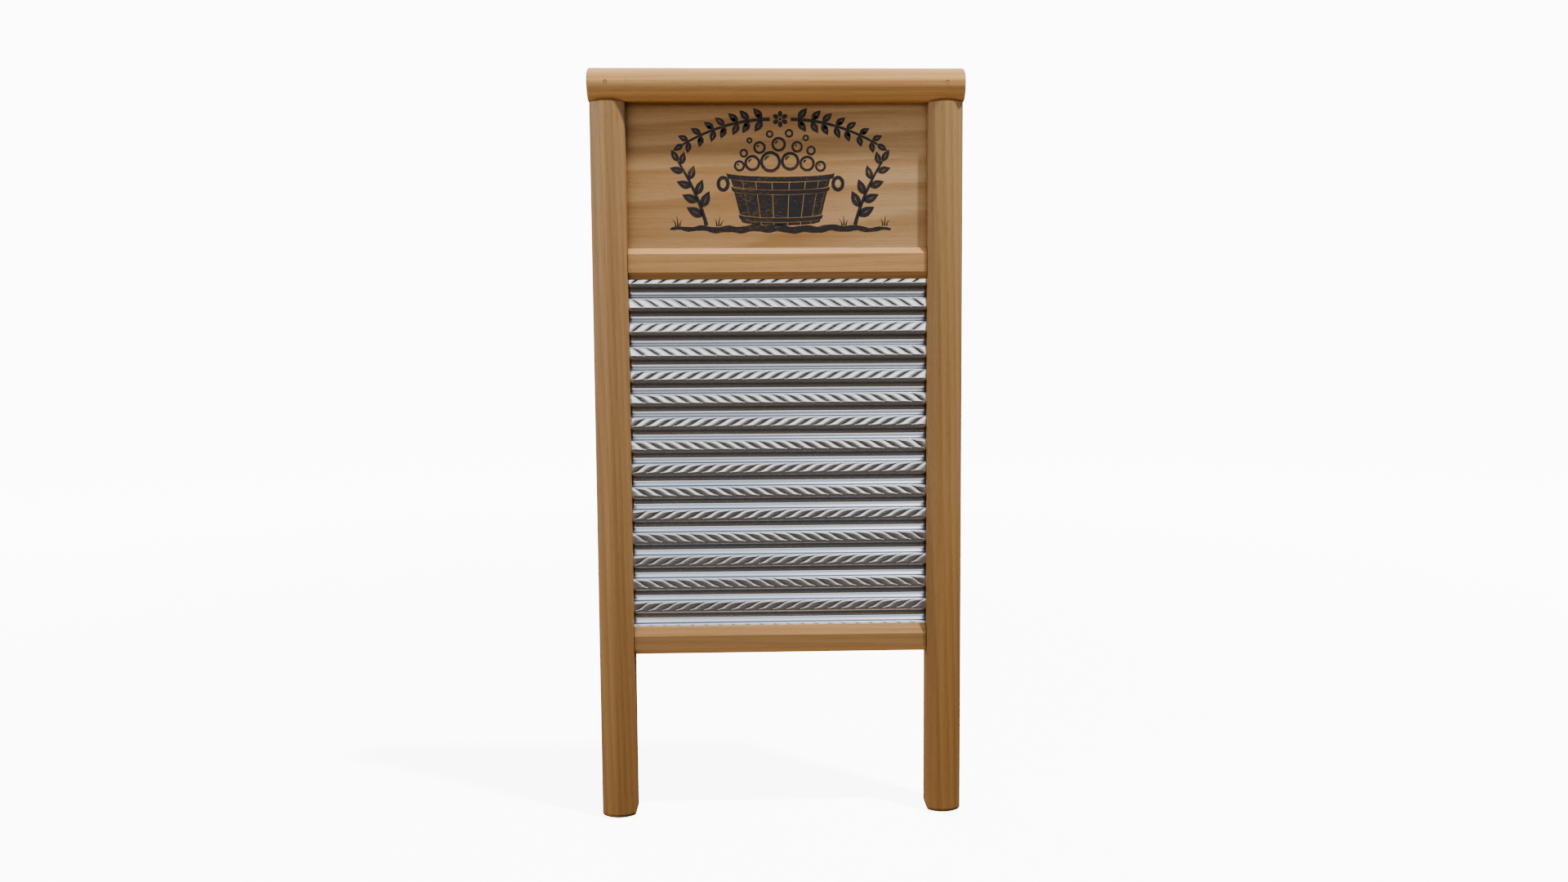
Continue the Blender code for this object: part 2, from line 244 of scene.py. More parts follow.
def wood(name, along, seed, pith, ring, contrast, tint, painted_foot_shade=None, slope_light_and_shade=None, sapwood_and_painted_light=None):
    """Planed wood with its grain along an axis.

    foot tints the lower end darker and warmer, as painted shade; sapwood lightens one side
    (from, to, tint), as paler wood on the panel and as painted light on the left post; and arris
    paints light and shade on the faces that slope up and down (gain, gain).
    """
    material, graph, shader = new_material(name)
    place = graph.coordinates()
    colour, height, fibre = wood_colour(graph, place, along, seed, pith, ring, contrast, tint)
    x, _, z = graph.parts(place)
    # Painted shade: darker and warmer towards the bottom, where the light falls off
    if painted_foot_shade:
        lower = graph.remap(z, TINT_BOTTOM, TINT_TOP, 1.0, 0.0, smooth=False)
        colour = graph.tinted(lower, colour, painted_foot_shade)
    # One side paler: paler wood on the panel, and painted light on the left post's outer side
    if sapwood_and_painted_light:
        start, end, pale = sapwood_and_painted_light
        colour = graph.tinted(graph.remap(x, start, end), colour, pale)
    normal = graph.coordinates("Normal")
    # Painted light and shade: faces that slope up, and faces that slope down, each get their own gain
    if slope_light_and_shade:
        slope = graph.parts(normal)[2]
        for gain, sign in zip(slope_light_and_shade, (1, -1)):
            painted_slope_light = graph.remap(graph.math("MULTIPLY", slope, sign), 0.2, 0.5)
            colour = graph.tinted(painted_slope_light, colour, (gain, gain, gain))
    facing = graph.measure("DOT_PRODUCT", normal, (1, 0, 0) if along == "X" else (0, 0, 1))
    end_grain = graph.remap(graph.math("ABSOLUTE", facing), 0.6, 0.95)
    colour = graph.tinted(graph.math("MULTIPLY", end_grain, 0.55), colour, END_GRAIN_TINT)
    # Painted shade, with some grime, darkens corners and places between parts where ambient occlusion
    # finds them
    corner_occlusion = graph.node("ShaderNodeAmbientOcclusion", {"Distance": CORNER_SHADE_REACH}, samples=6)
    grime_and_shade = graph.remap(corner_occlusion.outputs["AO"], 0.35, 0.85, 0.55, 0.0)
    colour = graph.tinted(grime_and_shade, colour, CORNER_SHADE_TINT)
    graph.feed(shader.inputs["Base Color"], colour)
    rough = graph.remap(fibre, 0.25, 0.75, 0.46, 0.60, smooth=False)
    graph.feed(shader.inputs["Roughness"], rough)
    add_bump(graph, shader, 0.35, 0.00025, height)
    return material


def galvanised():
    """Bright drawn sheet: lines along the ridges, faint spangle, and tarnish with painted shade in crimps
    and creases.
    """
    material, graph, shader = new_material("bright_sheet")
    place = graph.coordinates()
    drawn = graph.noise(graph.stretched(place, (0.010, 1, 1)), 900.0, 2.0, 0.5)
    blotch = graph.noise(graph.stretched(place, (0.35, 1, 1)), 60.0, 3.0, 0.55)
    cells = graph.node("ShaderNodeTexVoronoi", {"Vector": place, "Scale": 260.0})
    spangle = graph.node("ShaderNodeSeparateColor", {"Color": cells.outputs["Color"]}).outputs[0]
    grime_and_shade = graph.node("ShaderNodeAttribute", attribute_name="grime_and_shade").outputs["Fac"]
    colour = graph.ramp(blotch, ((0.25, METAL_DULL), (0.75, METAL_PALE)))
    colour = graph.mix(graph.remap(spangle, 0.0, 1.0, 0.0, 0.10), colour, METAL_SPANGLE)
    colour = graph.mix(graph.remap(drawn, 0.35, 0.65, 0.0, 0.14), colour, METAL_DRAWN)
    # Tarnish and painted shade darken the crimps, creases and valley lines
    colour = graph.mix(graph.math("MULTIPLY", grime_and_shade, 0.86), colour, METAL_TARNISH_AND_SHADE)
    graph.feed(shader.inputs["Base Color"], colour)
    shader.inputs["Metallic"].default_value = 0.94
    rough = graph.remap(drawn, 0.3, 0.7, 0.10, 0.16)
    rough = graph.math("ADD", rough, graph.math("MULTIPLY", grime_and_shade, 0.2))
    graph.feed(shader.inputs["Roughness"], rough)
    add_bump(graph, shader, 0.10, 0.00006, drawn)
    return material


def ink():
    """Screen-printed ink, thin enough that the wood's fibres break through in specks."""
    material, graph, shader = new_material("header_ink")
    place = graph.coordinates()
    speck = graph.noise(graph.stretched(place, (0.35, 1, 1)), 900.0, 2.0, 0.6)
    patch = graph.noise(graph.stretched(place, (0.5, 1, 1)), 45.0, 2.0)
    bare = graph.math("ADD", speck, graph.math("MULTIPLY", patch, 0.5))
    bare = graph.math("MULTIPLY", graph.remap(bare, 0.80, 1.0), 0.22)
    graph.feed(shader.inputs["Base Color"], graph.mix(bare, INK, WOOD_MID))
    graph.feed(shader.inputs["Roughness"], graph.remap(speck, 0.2, 0.8, 0.72, 0.90))
    add_bump(graph, shader, 0.4, 0.0001, speck)
    return material


def nail_steel():
    material, graph, shader = new_material("nail_steel")
    tarnish = graph.noise(graph.coordinates(), 900.0, 3.0, 0.6)
    colour = graph.ramp(tarnish, ((0.35, STEEL_BARE), (0.7, STEEL_TARNISHED)))
    graph.feed(shader.inputs["Base Color"], colour)
    shader.inputs["Metallic"].default_value = 0.9
    graph.feed(shader.inputs["Roughness"], graph.remap(tarnish, 0.3, 0.7, 0.32, 0.62))
    return material


def filler():
    """Pale wood filler that hides a brad's head."""
    material, graph, shader = new_material("brad_filler")
    crumb = graph.noise(graph.coordinates(), 2200.0, 3.0, 0.6)
    colour = graph.ramp(crumb, ((0.3, FILLER_PALE), (0.7, FILLER_DARK)))
    graph.feed(shader.inputs["Base Color"], colour)
    shader.inputs["Roughness"].default_value = 0.7
    return material


# ---------------------------------------------------------------- geometry helpers

SMOOTH_ANGLE = 32  # degrees between faces that still shade as one
BEVEL_SMOOTH_ANGLE = 14  # on the bevelled rails, whose bevels are shallow
CRIMP_SMOOTH_ANGLE = 60
PRINT_SMOOTH_ANGLE = 30
WELD_DISTANCE = 0.00001
FLAT_ANGLE = 0.3  # degrees between faces that are one flat face


def add_piece(name, points, faces, material, smooth_angle=SMOOTH_ANGLE):
    mesh = bpy.data.meshes.new(name)
    mesh.from_pydata(points, [], faces)
    mesh.materials.append(material)
    mesh.shade_smooth()
    mesh.set_sharp_from_angle(angle=math.radians(smooth_angle))
    piece = bpy.data.objects.new(name, mesh)
    bpy.context.scene.collection.objects.link(piece)
    return piece


def flatten_shading(piece):
    """Keeps the large faces flat, so that only the narrow ones beside them look rounded."""
    weigh = piece.modifiers.new("flat_faces_stay_flat", "WEIGHTED_NORMAL")
    weigh.keep_sharp = True


def dress(node, name, material, smooth_angle):
    """A smooth-shaded copy of a CAD node's shape, with its own finish."""
    bm = bmesh.new()
    bm.from_mesh(nodes[node].data)
    bmesh.ops.remove_doubles(bm, verts=bm.verts, dist=WELD_DISTANCE)
    flat = math.radians(FLAT_ANGLE)
    bmesh.ops.dissolve_limit(bm, angle_limit=flat, verts=bm.verts, edges=bm.edges, delimit={"NORMAL"})
    bm.verts.index_update()
    points = [vert.co[:] for vert in bm.verts]
    faces = [[vert.index for vert in face.verts] for face in bm.faces]
    bm.free()
    piece = add_piece(name, points, faces, material, smooth_angle)
    flatten_shading(piece)
    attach(piece, "root")
    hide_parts(node)
    return piece


# ---------------------------------------------------------------- rope-crimped sheet

RIDGE_PITCH = 0.019
LOWEST_CREST = 0.1555
RIDGE_NUMBERS = range(-1, 17)  # every ridge, and one more past each edge of the sheet
SHEET_GAUGE = 0.0005

# A ridge's section, by distance from its crest: level, then eased into the flank, then into the valley
CREST_EASE_BELOW = (0.0020, 0.0042)
CREST_EASE_ABOVE = (0.0034, 0.0052)
VALLEY_EASE = (0.0095, 0.0082)
PROFILE_STEPS = 200

CREASE_OFFSET = 0.0057
CREASE_DEPTH = 0.0003
CREASE_HALF_WIDTH = 0.0007
CREASE_CORE = 0.00032
# How dark the creases get, with tarnish and painted shade
CREASE_TARNISH_AND_SHADE = 0.95
VALLEY_LINE = 0.0082  # a faint scratch in the valley above each ridge, darkened with tarnish and painted shade
VALLEY_LINE_TARNISH_AND_SHADE = 0.3
VALLEY_LINE_DEPTH = 0.4  # of a crease's, for full tarnish and painted shade

LOBE_PITCH = 0.0114  # between strands of the rope pattern, along a ridge
LOBE_DEPTH = 0.0007
LOBE_SWEEP = 0.0062  # how far a stroke leans along the ridge, for each radian of turn
LOBE_SHARPNESS = 4
LOBE_COLUMNS = (0.0, 0.055, 0.14, 0.5, 0.86, 0.945)  # vertices of one lobe, as shares of the pitch
ROPE_MIDDLE = 0.0010
ROPE_TURN_WIDTH = 0.0040
ROPE_BAND = (-0.0026, -0.0012, 0.0036, 0.0050)  # where strokes start, are full, start to fade, and end
SHEET_ROWS = (
    (-8.2, -6.1, -5.3, -4.2, -2.8, -2.1, -1.4, -0.7, 0.0, 0.7, 1.4)
    + (2.1, 2.8, 3.5, 4.2, 4.9, 5.4, 6.0, 6.4, 8.2, 9.5)
)  # vertices across one ridge, in millimetres above its crest
ROW_MARGIN = 0.0002  # kept clear of the sheet's lower and upper edges
COLUMN_MARGIN = 0.0004  # kept clear of its side edges
SIDE_FADE = 16  # how abruptly the strokes stop leaning at the side edges
UNEVENNESS = 0.00012

SPREAD = 0.0014  # how far the upper ridges are shifted up, between these heights
SPREAD_START = 0.365
SPREAD_FULL = 0.435
SPREAD_END_WIDTH = 0.005


def ease(value, start, end):
    t = max(0.0, min(1.0, (value - start) / (end - start)))
    return t * t * (3 - 2 * t)


def ridge_of(height):
    """Number of the nearest ridge, counted from the lowest, and the height above its crest."""
    number = round((height - LOWEST_CREST) / RIDGE_PITCH)
    return number, height - LOWEST_CREST - number * RIDGE_PITCH


def spread(height, top):
    """The pressed ridges stand slightly wider apart near the top of the sheet."""
    rising = ease(height, SPREAD_START, SPREAD_FULL)
    return height + SPREAD * rising * ease(height, top, top - SPREAD_END_WIDTH)


def sheet_rows(low, high):
    rows = {low, high}
    for number in RIDGE_NUMBERS:
        crest = LOWEST_CREST + number * RIDGE_PITCH
        heights = {crest + row / 1000 for row in SHEET_ROWS}
        rows |= {height for height in heights if low + ROW_MARGIN < height < high - ROW_MARGIN}
    return sorted(rows)


def sheet_columns(half_width):
    count = math.ceil(half_width / LOBE_PITCH)
    columns = []
    for lobe in range(-count, count + 1):
        columns += [(lobe + part) * LOBE_PITCH for part in LOBE_COLUMNS]
    columns = [x for x in columns if abs(x) < half_width - COLUMN_MARGIN]
    return np.array([-half_width] + columns + [half_width])


def ridge_section(wave_height):
    """How far the sheet falls away from a crest, at even steps below it and above it."""
    steps = np.linspace(0, RIDGE_PITCH / 2, PROFILE_STEPS)
    falls = []
    for crest_ease in (CREST_EASE_BELOW, CREST_EASE_ABOVE):
        slopes = [ease(step, *crest_ease) * ease(step, *VALLEY_EASE) for step in steps]
        falls.append(2 * wave_height * np.cumsum(slopes) / np.sum(slopes))
    return steps, falls


def sheet_faces(row_count, column_count):
    """Faces of a front skin, of the back skin that follows it, and of the border between them."""
    skin = row_count * column_count
    faces = []
    for i in range(row_count - 1):
        for j in range(column_count - 1):
            a = i * column_count + j
            b = a + column_count
            faces.append((a, a + 1, b + 1, b))
            faces.append((skin + a, skin + b, skin + b + 1, skin + a + 1))
    border = list(range(column_count))
    border += [i * column_count + column_count - 1 for i in range(1, row_count)]
    border += [(row_count - 1) * column_count + j for j in range(column_count - 2, -1, -1)]
    border += [i * column_count for i in range(row_count - 2, 0, -1)]
    for here, after in zip(border, border[1:] + border[:1]):
        faces.append((here, skin + here, skin + after, after))
    return faces


def crimped_sheet(material):
    """The ribbed sheet with a rope pattern pressed into each ridge, its strokes alternating."""
    low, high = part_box("ribbed_sheet")
    wave_height = high.y - SHEET_GAUGE / 2
    columns = sheet_columns(high.x)
    fade = 1 - np.abs(columns / high.x) ** SIDE_FADE
    strand = (1 - np.abs(np.sin(math.pi * columns / LOBE_PITCH))) ** LOBE_SHARPNESS
    steps, falls = ridge_section(wave_height)
    start, full, fading, end = ROPE_BAND
    rows = sheet_rows(low.z, high.z)
    front, back, grime_and_shade = [], [], []
    for height in rows:
        number, above = ridge_of(height)
        turn = math.asin(max(-1.0, min(1.0, (above - ROPE_MIDDLE) / ROPE_TURN_WIDTH)))
        sweep = LOBE_SWEEP * turn * (1 if number % 2 else -1)
        window = ease(above, start, full) * ease(above, end, fading)
        crease = ease(abs(abs(above) - CREASE_OFFSET), CREASE_HALF_WIDTH, CREASE_CORE)
        line = VALLEY_LINE_TARNISH_AND_SHADE if abs(above - VALLEY_LINE) < 0.0001 else 0.0
        wave = np.interp(abs(above), steps, wave_height - falls[above > 0])
        wave -= CREASE_DEPTH * (crease + VALLEY_LINE_DEPTH * line)
        pressed = wave - LOBE_DEPTH * window * strand
        level = spread(height, high.z)
        for x, out, mark in zip(columns + sweep * fade, pressed, strand):
            uneven = UNEVENNESS * noise.noise(Vector((x * 14, height * 30, 3.7)))
            middle = max(-wave_height, min(wave_height, out + uneven))
            front.append((x, -middle - SHEET_GAUGE / 2, level))
            back.append((x, -middle + SHEET_GAUGE / 2, level))
            # Tarnish and painted shade in the rope's grooves, the creases and the valley line
            grime_and_shade.append(max(window * mark**0.8, CREASE_TARNISH_AND_SHADE * crease, line))
    faces = sheet_faces(len(rows), len(columns))
    piece = add_piece("crimped_sheet", front + back, faces, material, CRIMP_SMOOTH_ANGLE)
    flatten_shading(piece)
    marks = piece.data.attributes.new("grime_and_shade", "FLOAT", "POINT")
    marks.data.foreach_set("value", grime_and_shade + grime_and_shade)
    return piece


# ---------------------------------------------------------------- header print, drawn in millimetres

PRINT_MIDDLE = (0.0026, 0.5245)  # x and z on the panel, in metres
INK_THICKNESS = 0.00008
INK_SINK = 0.00002
INK_RAGGEDNESS = 0.10

TUB_TOP_HALF = 40.0
TUB_FOOT_HALF = 31.5
TUB_FOOT = -35.5
TUB_RIM = -1.5
TUB_SAG = 3.2  # how far the middle of a level line across the round tub hangs below its ends
TUB_STAVES = 9
STAVE_GAP = 0.0055  # half the gap between staves, as a share of the tub's half width
STAVE_BANDS = ((TUB_FOOT, -33.4), (-29.3, -11.3), (-7.2, TUB_RIM))
HOOP_BANDS = ((-32.9, -29.8), (-10.8, -7.7))

BUBBLES = (  # across, up, radius
    (-33.0, 8.6, 4.4),
    (-22.6, 10.8, 6.4),
    (-8.0, 11.8, 8.4),
    (7.8, 12.2, 7.4),
    (21.4, 10.4, 6.2),
    (32.2, 8.2, 4.4),
    (-29.4, 18.6, 3.4),
    (-16.8, 23.0, 5.0),
    (-1.4, 25.6, 5.8),
    (13.4, 23.6, 4.6),
    (24.6, 20.6, 3.8),
    (-8.6, 33.6, 3.0),
    (7.0, 34.2, 3.4),
    (-24.8, 28.6, 2.4),
    (20.4, 30.6, 2.6),
)

SPRIG_STEPS = 30
GARLAND_STEPS = 40
BLOSSOM_LEVEL = 45.4
GROUND_HALF = 89
GROUND_LEVEL = -41.5
GROUND_STEPS = 60
GRASS_LEVEL = -39.2
TUFTS = ((-83, 6), (-50, -8), (51, 4), (84, -6))  # across, lean in degrees


def heading_of(before, after):
    return math.atan2(after[1] - before[1], after[0] - before[0])


def reach(angle, length):
    return Vector((math.cos(angle), math.sin(angle))) * length


def stroke(points, widths):
    """Outline of a tapering line through points."""
    left, right = [], []
    for index, point in enumerate(points):
        before = Vector(points[max(index - 1, 0)])
        after = Vector(points[min(index + 1, len(points) - 1)])
        along = (after - before).normalized()
        side = Vector((-along.y, along.x)) * widths[index] / 2
        left.append(tuple(Vector(point) + side))
        right.append(tuple(Vector(point) - side))
    return left + right[::-1]


def tapered(points, start_width, loss):
    """A stroke that loses some of its width evenly to its end."""
    last = len(points) - 1
    return stroke(points, [start_width - loss * index / last for index in range(last + 1)])


def bend(start, control, end, steps):
    """Points on a quadratic curve."""
    found = []
    for step in range(steps + 1):
        t = step / steps
        a, b, c = (1 - t) ** 2, 2 * t * (1 - t), t * t
        found.append(tuple(a * s + b * m + c * e for s, m, e in zip(start, control, end)))
    return found


def oval(centre, width, height, steps=36, turn=0.0):
    found = []
    for step in range(steps):
        angle = 2 * math.pi * step / steps
        x, y = width / 2 * math.cos(angle), height / 2 * math.sin(angle)
        c, s = math.cos(turn), math.sin(turn)
        found.append((centre[0] + x * c - y * s, centre[1] + x * s + y * c))
    return found


def leaf(root, angle, length, width):
    """A pointed leaf with a bare midrib."""
    root = Vector(root)
    along = reach(angle, 1)
    side = Vector((-along.y, along.x))
    steps = 10

    def edge_point(step, sign):
        t = step / steps
        swell = math.sin(math.pi * t**0.8) * width / 2 * sign
        return tuple(root + along * length * t + side * swell)

    outer = [edge_point(step, 1) for step in range(steps + 1)]
    outer += [edge_point(step, -1) for step in range(steps - 1, 0, -1)]
    rib_start = root + along * length * 0.16
    rib_end = root + along * length * 0.80
    bulge = side * 0.28
    middle = (rib_start + rib_end) / 2
    rib = [tuple(point) for point in (rib_start, middle - bulge, rib_end, middle + bulge)]
    return outer, [rib]


def sprig(start, control, end, count, leaf_length, leaf_width, flip):
    """A stem with leaves in alternation, shrinking towards the tip."""
    spine = bend(start, control, end, SPRIG_STEPS)
    shapes = [(tapered(spine, 3.0, 1.4), [])]
    for number in range(count):
        t = 0.14 + 0.80 * number / (count - 1)
        place = round(t * SPRIG_STEPS)
        heading = heading_of(spine[max(0, place - 1)], spine[min(SPRIG_STEPS, place + 1)])
        side = flip if number % 2 else -flip
        size = 1 - 0.35 * t
        angle = heading + side * math.radians(44)
        root = Vector(spine[place]) + reach(angle, 1.3)
        shapes.append(leaf(root, angle, leaf_length * size, leaf_width * size))
    heading = heading_of(spine[-2], spine[-1])
    shapes.append(leaf(spine[-1], heading, leaf_length * 0.7, leaf_width * 0.65))
    return shapes


def tub_point(turn, level):
    """A point on the front of a round, tapering tub. turn runs from -1 to 1 across it."""
    share = (level - TUB_FOOT) / (TUB_RIM - TUB_FOOT)
    half = TUB_FOOT_HALF + (TUB_TOP_HALF - TUB_FOOT_HALF) * share
    angle = math.pi / 2 * turn
    return half * math.sin(angle), level - TUB_SAG * math.cos(angle)


def tub_band(low, high, start, end, grow=0.0):
    steps = max(2, round(abs(end - start) * 14))
    turns = [start + (end - start) * step / steps for step in range(steps + 1)]
    lower = [tub_point(turn, low) for turn in turns]
    upper = [tub_point(turn, high) for turn in reversed(turns)]
    return [(x * (1 + grow), y) for x, y in lower + upper]


def wash_tub():
    """A staved tub with two hoops, a rolled rim and ring handles."""
    shapes = []
    for low, high in STAVE_BANDS:
        for number in range(TUB_STAVES):
            start = -1 + 2 * number / TUB_STAVES + STAVE_GAP
            end = -1 + 2 * (number + 1) / TUB_STAVES - STAVE_GAP
            shapes.append((tub_band(low, high, start, end), []))
    for low, high in HOOP_BANDS:
        shapes.append((tub_band(low, high, -1, 1, 0.035), []))
    shapes.append((tub_band(TUB_RIM + 0.7, TUB_RIM + 4.6, -1, 1, 0.06), []))
    for side in (-1, 1):
        centre = (side * 46.2, -5.6)
        shapes.append((oval(centre, 10.5, 12.5), [oval(centre, 5.0, 7.0)]))
    return shapes


def bubble(x, y, radius):
    """A bubble drawn as a thick ring, with an arc of shine inside a large one."""
    wall = 1.0 + 0.16 * radius
    outer = oval((x, y), 2 * radius, 2 * radius, 40)
    inner = oval((x, y), 2 * (radius - wall), 2 * (radius - wall), 40)
    shapes = [(outer, [inner])]
    if radius > 4:
        shine = radius - wall - 1.4
        angles = [math.radians(degrees) for degrees in range(100, 176, 8)]
        arc = [(x + shine * math.cos(angle), y + shine * math.sin(angle)) for angle in angles]
        last = len(arc) - 1
        widths = [0.3 + 1.1 * math.sin(math.pi * index / last) for index in range(len(arc))]
        shapes.append((stroke(arc, widths), []))
    return shapes


def garland():
    """An arch of paired leaves and berries that rises to a blossom."""
    shapes = []
    for side in (-1, 1):
        spine = bend((side * 8.5, 45.2), (side * 44, 45.0), (side * 78, 25.5), GARLAND_STEPS)
        shapes.append((tapered(spine, 2.6, 1.0), []))
        for number in range(7):
            place = 3 + round(number * 5.6)
            heading = heading_of(spine[place - 1], spine[place + 1])
            size = 1 - 0.03 * number
            for lean in (-1, 1):
                angle = heading + lean * math.radians(52)
                root = Vector(spine[place]) + reach(angle, 1.2)
                shapes.append(leaf(root, angle, 10.6 * size, 5.8 * size))
            if number < 6:
                away = reach(heading + math.radians(90), 3.2 if number % 2 else -3.2)
                berry = Vector(spine[place + 2]) + away
                shapes.append((oval(tuple(berry), 2.8, 2.8, 16), []))
        shapes.append(leaf(spine[-1], math.atan2(-1.0, 1.6 * side), 9.5, 4.8))
    for petal in range(6):
        angle = math.radians(90 + 60 * petal)
        centre = (4.1 * math.cos(angle), BLOSSOM_LEVEL + 4.1 * math.sin(angle))
        shapes.append((oval(centre, 4.6, 3.5, 20, angle), []))
    shapes.append((oval((0, BLOSSOM_LEVEL), 2.4, 2.4, 20), []))
    return shapes


def ground():
    """An uneven line of earth, thickest in the middle."""
    spine, widths = [], []
    for step in range(GROUND_STEPS + 1):
        share = step / GROUND_STEPS
        bumps = 0.7 * math.sin(step * 0.9) + 0.5 * math.sin(step * 0.31)
        spine.append((-GROUND_HALF + 2 * GROUND_HALF * share, GROUND_LEVEL + bumps))
        thickness = 1.2 + 4.2 * math.sin(math.pi * share) ** 0.5
        widths.append(thickness + 0.5 * math.sin(step * 1.7))
    return [(stroke(spine, widths), [])]


def tuft(x, lean):
    """Three blades of grass on the ground line."""
    shapes = []
    for shift, angle, length in ((-1.6, 112, 6.0), (0.0, 90, 8.5), (1.6, 66, 5.4)):
        root = Vector((x + shift, GRASS_LEVEL))
        tip = root + reach(math.radians(angle + lean), length)
        blade = bend(root, root + Vector((0, length * 0.6)), tip, 6)
        shapes.append((tapered(blade, 1.2, 1.1), []))
    return shapes


def on_panel(x, y):
    """A drawn point's x and z on the header panel, in metres, with the print's ragged edge."""
    ragged = INK_RAGGEDNESS * noise.noise(Vector((x * 1.3, y * 1.3, 0.4)))
    return PRINT_MIDDLE[0] + (x + ragged) / 1000, PRINT_MIDDLE[1] + (y + ragged) / 1000


def placed_loop(loop, is_hole):
    """A drawn outline on the panel. Outlines run anticlockwise and holes clockwise."""
    area = sum(a[0] * b[1] - b[0] * a[1] for a, b in zip(loop, loop[1:] + loop[:1]))
    if (area > 0) == is_hole:
        loop = loop[::-1]
    return [on_panel(x, y) for x, y in loop]


def header_print(material):
    """A wash tub heaped with suds between leafy sprigs, under an arched garland."""
    shapes = wash_tub() + garland() + ground()
    for entry in BUBBLES:
        shapes += bubble(*entry)
    for side in (-1, 1):
        shapes += sprig((side * 60, -38.6), (side * 66, -14), (side * 82, 12), 8, 15.5, 8.0, side)
    for x, lean in TUFTS:
        shapes += tuft(x, lean)
    panel_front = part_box("header_panel")[0].y
    points, faces = [], []
    for outer, holes in shapes:
        loops = [placed_loop(outer, False)] + [placed_loop(hole, True) for hole in holes]
        loops = [[Vector((x, z, 0)) for x, z in loop] for loop in loops]
        flat = [point for loop in loops for point in loop]
        start = len(points)
        for depth in (panel_front - INK_THICKNESS, panel_front + INK_SINK):
            points += [(point.x, depth, point.y) for point in flat]
        for a, b, c in tessellate_polygon(loops):
            turn = (flat[b] - flat[a]).cross(flat[c] - flat[a]).z
            triangle = (a, b, c) if turn > 0 else (a, c, b)
            faces.append(tuple(start + i for i in triangle))
            faces.append(tuple(start + len(flat) + i for i in reversed(triangle)))
        for loop in loops:
            for index in range(len(loop)):
                a = start + index
                b = start + (index + 1) % len(loop)
                faces.append((a, a + len(flat), b + len(flat), b))
            start += len(loop)
    return add_piece("header_print", points, faces, material, PRINT_SMOOTH_ANGLE)


# ---------------------------------------------------------------- the board

WOODS = {
    "left_post": {
        "along": "Z",
        "seed": 1,
        "pith": (-0.21, -0.05),
        "ring": 0.0048,
        "contrast": 0.5,
        "tint": (0.74, 0.79, 0.94),
        # painted shade, darker towards the foot
        "painted_foot_shade": (0.77, 0.68, 0.52),
        # painted light on this post's outer side
        "sapwood_and_painted_light": (-0.133, -0.139, (1.34, 1.38, 1.42)),
    },
    "right_post": {
        "along": "Z",
        "seed": 2,
        "pith": (0.10, -0.045),
        "ring": 0.0052,
        "contrast": 0.6,
        "tint": (0.80, 0.88, 1.00),
        # painted shade, darker towards the foot
        "painted_foot_shade": (0.82, 0.70, 0.56),
    },
    "top_rail": {
        "along": "X",
        "seed": 3,
        "pith": (-0.05, 0.66),
        "ring": 0.0050,
        "contrast": 0.5,
        "tint": (1.20, 1.22, 1.28),
        # painted light and shade on the faces sloping up and down
        "slope_light_and_shade": (0.82, 1.15),
    },
    "header_panel": {
        "along": "X",
        "seed": 4,
        "pith": (0.30, 0.44),
        "ring": 0.0060,
        "contrast": 0.9,
        "tint": (0.92, 0.97, 1.12),
        "sapwood_and_painted_light": (0.0, 0.09, (1.08, 1.17, 1.30)),
    },
    "middle_rail": {
        "along": "X",
        "seed": 5,
        "pith": (-0.06, 0.50),
        "ring": 0.0045,
        "contrast": 0.5,
        "tint": (1.02, 1.06, 1.18),
        # painted light and shade on the faces sloping up and down
        "slope_light_and_shade": (1.1, 0.9),
    },
    "bottom_rail": {
        "along": "X",
        "seed": 6,
        "pith": (-0.05, 0.10),
        "ring": 0.0045,
        "contrast": 0.5,
        "tint": (0.74, 0.77, 0.87),
        # painted light and shade on the faces sloping up and down
        "slope_light_and_shade": (1.58, 1.95),
    },
}
BEVELLED = ("middle_rail", "bottom_rail")

for node, look in WOODS.items():
    name = f"{node}_wood"
    angle = BEVEL_SMOOTH_ANGLE if node in BEVELLED else SMOOTH_ANGLE
    dress(node, name, wood(name, **look), angle)

sheet = crimped_sheet(galvanised())
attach(sheet, "root")
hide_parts("ribbed_sheet")

emblem = header_print(ink())
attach(emblem, "root")

steel = nail_steel()
putty = filler()
for name, node in nodes.items():
    if "_nail_" in name or "_brad_" in name:
        node.data.materials.clear()
        node.data.materials.append(putty if "_brad_" in name else steel)

# ---------------------------------------------------------------- studio, light and camera

BACKDROP_STRENGTH = 6.0
FLOOR_RADIUS = 6
FLOOR_SIDES = 96
FLOOR_STRENGTH = 4.1  # under the board
FLOOR_GAIN = 1.2  # how much stronger it is far from the board
FLOOR_NEAR = 0.35
FLOOR_FAR = 2.6

# Skies, from straight down to straight up: what polished metal mirrors, and what lights the rest
MIRRORED_SKY = (
    (0.0, (0.110, 0.094, 0.080)),
    (0.40, (0.104, 0.088, 0.074)),
    (0.460, (0.14, 0.12, 0.10)),
    (0.490, (0.90, 0.86, 0.82)),
    (0.515, (1.64, 1.60, 1.57)),
    (0.56, (1.60, 1.57, 1.54)),
    (0.62, (0.90, 0.90, 0.90)),
    (0.68, (0.42, 0.43, 0.45)),
    (0.80, (0.50, 0.54, 0.60)),
    (0.88, (0.80, 0.88, 1.00)),
    (0.945, (1.10, 1.22, 1.44)),
    (0.975, (0.90, 1.01, 1.20)),
    (1.0, (0.65, 0.73, 0.87)),
)
SOFT_SKY = (
    (0.0, (0.44, 0.35, 0.26)),
    (0.2, (0.38, 0.30, 0.22)),
    (0.45, (0.34, 0.27, 0.20)),
    (0.55, (1.00, 0.91, 0.80)),
    (0.7, (0.92, 0.92, 0.92)),
    (1.0, (0.80, 0.86, 0.94)),
)
